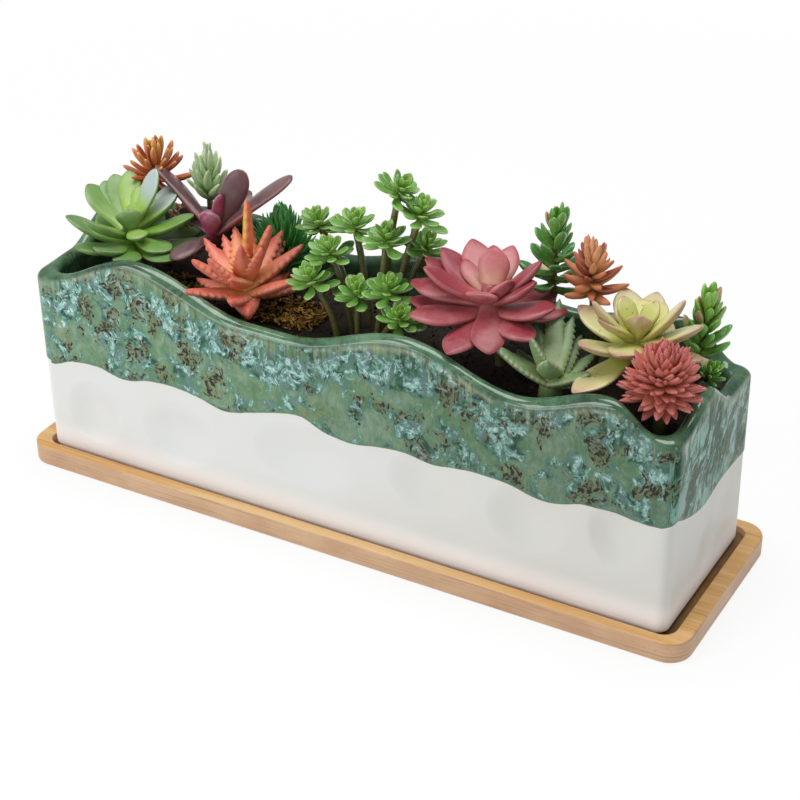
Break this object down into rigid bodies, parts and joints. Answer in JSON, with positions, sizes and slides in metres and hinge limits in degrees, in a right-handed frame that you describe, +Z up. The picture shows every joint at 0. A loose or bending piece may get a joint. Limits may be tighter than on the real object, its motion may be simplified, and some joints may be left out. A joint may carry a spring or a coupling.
{
  "type": "rectangular ceramic planter",
  "caption": "Long rectangular ceramic planter with a wavy glazed rim, lifted off a shallow bamboo tray and planted with mixed succulents on buried picks.",
  "frame": {"origin": "centre of the bamboo tray's underside", "axes": "+X along the planter's length, -Y towards the front, +Z up"},
  "size_m": [0.32, 0.0948, 0.1598],
  "materials": {
    "bamboo": "satin",
    "glazed_ceramic": "gloss",
    "soil": "matte",
    "moss": "matte",
    "green_leaf": "satin",
    "pink_leaf": "satin",
    "yellow_leaf": "satin",
    "coral_leaf": "satin",
    "pale_leaf": "satin",
    "purple_leaf": "satin",
    "red_leaf": "satin",
    "jelly_leaf": "satin",
    "tall_sedum_leaf": "satin",
    "peach_leaf": "satin",
    "orange_leaf": "satin",
    "mint_leaf": "satin",
    "green_sedum_leaf": "satin",
    "tuft_leaf": "satin"
  },
  "bodies": {
    "tray": {"bamboo_tray": "bamboo"},
    "pot": {"ceramic_pot": "glazed_ceramic", "soil_bed": "soil", "moss_pad_front": "moss", "moss_pad_left": "moss", "green_rosette": "green_leaf", "pink_rosette": "pink_leaf", "yellow_rosette": "yellow_leaf", "coral_aloe": "coral_leaf", "pale_toothed_aloe": "pale_leaf", "purple_paddle_plant": "purple_leaf", "red_spiky_ball": "red_leaf", "jelly_bean_cluster": "jelly_leaf", "tall_green_sedum": "tall_sedum_leaf", "peach_sedum": "peach_leaf", "orange_sedum": "orange_leaf", "mint_sedum": "mint_leaf", "green_sedum": "green_sedum_leaf", "dark_green_tuft": "tuft_leaf"}
  },
  "joints": [
    {"name": "pot_lift", "type": "slide", "parent": "tray", "child": "pot", "axis": [0, 0, 1], "range_m": [0, 0.06]}
  ]
}
